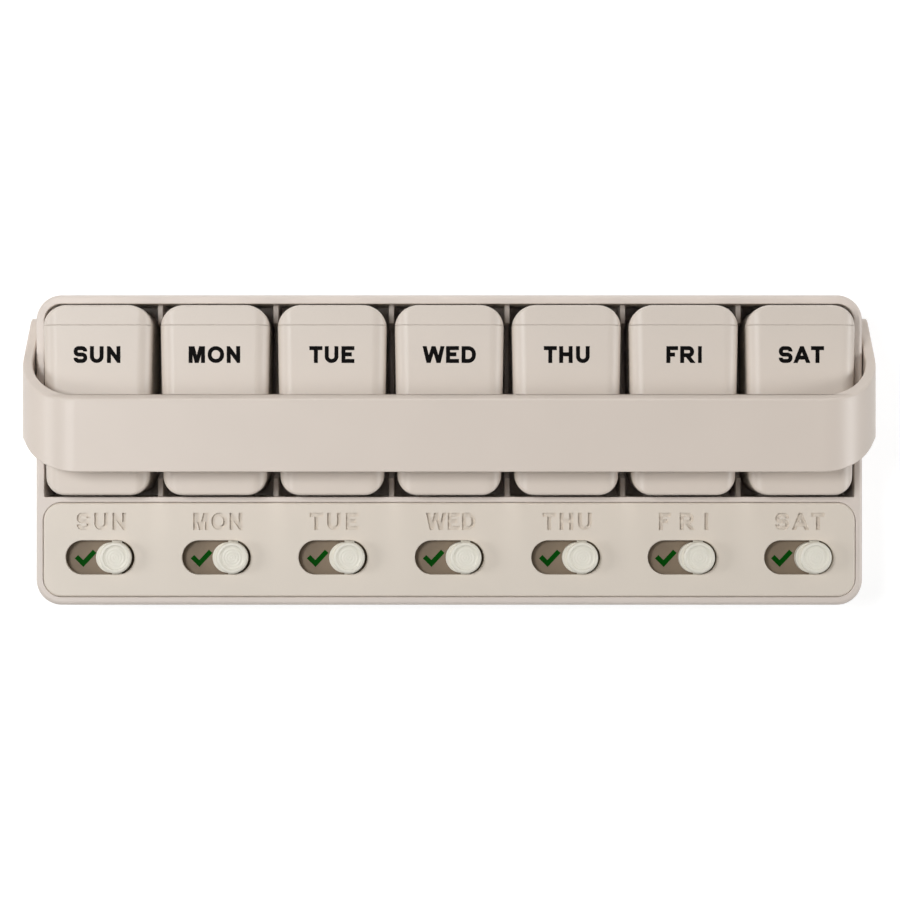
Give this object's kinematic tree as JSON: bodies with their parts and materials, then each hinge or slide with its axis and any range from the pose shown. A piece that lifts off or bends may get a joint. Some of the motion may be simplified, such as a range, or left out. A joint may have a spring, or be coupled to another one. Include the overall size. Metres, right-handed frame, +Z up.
{
  "type": "pill organizer",
  "caption": "Weekly pill organizer: a tray of lift-out day pods with hinged doors, a swinging carry handle across them and a tracker panel of sliding buttons.",
  "frame": {"origin": "under the middle of the tray, on the surface that it stands on", "axes": "+X along the week from the first day to the last, +Y to the back of the tray where the doors are hinged, +Z up"},
  "size_m": [0.2262, 0.0826, 0.042],
  "materials": {
    "tray": "satin moulded, warm beige",
    "tracker_panel": "satin moulded, warm beige",
    "tracker_bed": "matt, taupe, with printed check marks",
    "carry_handle": "satin moulded, warm beige",
    "pod_cup": "satin moulded, warm beige",
    "pod_cover": "satin moulded, warm beige",
    "pod_door": "satin moulded, warm beige, day name printed in black",
    "slider": "satin moulded, off-white"
  },
  "bodies": {
    "base": {"tray": "tray", "tracker_panel": "tracker_panel", "tracker_bed": "tracker_bed"},
    "handle": {"carry_handle": "carry_handle"},
    "pod_sun": {"pod_cup_sun": "pod_cup", "pod_cover_sun": "pod_cover"},
    "door_sun": {"pod_door_sun": "pod_door"},
    "button_sun": {"slider_sun": "slider"},
    "pod_mon": {"pod_cup_mon": "pod_cup", "pod_cover_mon": "pod_cover"},
    "door_mon": {"pod_door_mon": "pod_door"},
    "button_mon": {"slider_mon": "slider"},
    "pod_tue": {"pod_cup_tue": "pod_cup", "pod_cover_tue": "pod_cover"},
    "door_tue": {"pod_door_tue": "pod_door"},
    "button_tue": {"slider_tue": "slider"},
    "pod_wed": {"pod_cup_wed": "pod_cup", "pod_cover_wed": "pod_cover"},
    "door_wed": {"pod_door_wed": "pod_door"},
    "button_wed": {"slider_wed": "slider"},
    "pod_thu": {"pod_cup_thu": "pod_cup", "pod_cover_thu": "pod_cover"},
    "door_thu": {"pod_door_thu": "pod_door"},
    "button_thu": {"slider_thu": "slider"},
    "pod_fri": {"pod_cup_fri": "pod_cup", "pod_cover_fri": "pod_cover"},
    "door_fri": {"pod_door_fri": "pod_door"},
    "button_fri": {"slider_fri": "slider"},
    "pod_sat": {"pod_cup_sat": "pod_cup", "pod_cover_sat": "pod_cover"},
    "door_sat": {"pod_door_sat": "pod_door"},
    "button_sat": {"slider_sat": "slider"}
  },
  "joints": [
    {"name": "handle_swing", "type": "hinge", "parent": "base", "child": "handle", "pos_m": [0, 0.0296, 0.009], "axis": [-1, 0, 0], "range_deg": [0, 120]},
    {"name": "pod_sun_lift", "type": "slide", "parent": "base", "child": "pod_sun", "axis": [0, 0, 1], "range_m": [0, 0.003]},
    {"name": "door_sun_open", "type": "hinge", "parent": "pod_sun", "child": "door_sun", "pos_m": [-0.093, 0.03315, 0.0306], "axis": [-1, 0, 0], "range_deg": [0, 100]},
    {"name": "button_sun_travel", "type": "slide", "parent": "base", "child": "button_sun", "axis": [-1, 0, 0], "range_m": [0, 0.0076]},
    {"name": "pod_mon_lift", "type": "slide", "parent": "base", "child": "pod_mon", "axis": [0, 0, 1], "range_m": [0, 0.008]},
    {"name": "door_mon_open", "type": "hinge", "parent": "pod_mon", "child": "door_mon", "pos_m": [-0.062, 0.03315, 0.0306], "axis": [-1, 0, 0], "range_deg": [0, 100]},
    {"name": "button_mon_travel", "type": "slide", "parent": "base", "child": "button_mon", "axis": [-1, 0, 0], "range_m": [0, 0.0076]},
    {"name": "pod_tue_lift", "type": "slide", "parent": "base", "child": "pod_tue", "axis": [0, 0, 1], "range_m": [0, 0.008]},
    {"name": "door_tue_open", "type": "hinge", "parent": "pod_tue", "child": "door_tue", "pos_m": [-0.031, 0.03315, 0.0306], "axis": [-1, 0, 0], "range_deg": [0, 100]},
    {"name": "button_tue_travel", "type": "slide", "parent": "base", "child": "button_tue", "axis": [-1, 0, 0], "range_m": [0, 0.0076]},
    {"name": "pod_wed_lift", "type": "slide", "parent": "base", "child": "pod_wed", "axis": [0, 0, 1], "range_m": [0, 0.008]},
    {"name": "door_wed_open", "type": "hinge", "parent": "pod_wed", "child": "door_wed", "pos_m": [0, 0.03315, 0.0306], "axis": [-1, 0, 0], "range_deg": [0, 100]},
    {"name": "button_wed_travel", "type": "slide", "parent": "base", "child": "button_wed", "axis": [-1, 0, 0], "range_m": [0, 0.0076]},
    {"name": "pod_thu_lift", "type": "slide", "parent": "base", "child": "pod_thu", "axis": [0, 0, 1], "range_m": [0, 0.008]},
    {"name": "door_thu_open", "type": "hinge", "parent": "pod_thu", "child": "door_thu", "pos_m": [0.031, 0.03315, 0.0306], "axis": [-1, 0, 0], "range_deg": [0, 100]},
    {"name": "button_thu_travel", "type": "slide", "parent": "base", "child": "button_thu", "axis": [-1, 0, 0], "range_m": [0, 0.0076]},
    {"name": "pod_fri_lift", "type": "slide", "parent": "base", "child": "pod_fri", "axis": [0, 0, 1], "range_m": [0, 0.008]},
    {"name": "door_fri_open", "type": "hinge", "parent": "pod_fri", "child": "door_fri", "pos_m": [0.062, 0.03315, 0.0306], "axis": [-1, 0, 0], "range_deg": [0, 100]},
    {"name": "button_fri_travel", "type": "slide", "parent": "base", "child": "button_fri", "axis": [-1, 0, 0], "range_m": [0, 0.0076]},
    {"name": "pod_sat_lift", "type": "slide", "parent": "base", "child": "pod_sat", "axis": [0, 0, 1], "range_m": [0, 0.003]},
    {"name": "door_sat_open", "type": "hinge", "parent": "pod_sat", "child": "door_sat", "pos_m": [0.093, 0.03315, 0.0306], "axis": [-1, 0, 0], "range_deg": [0, 100]},
    {"name": "button_sat_travel", "type": "slide", "parent": "base", "child": "button_sat", "axis": [-1, 0, 0], "range_m": [0, 0.0076]}
  ]
}
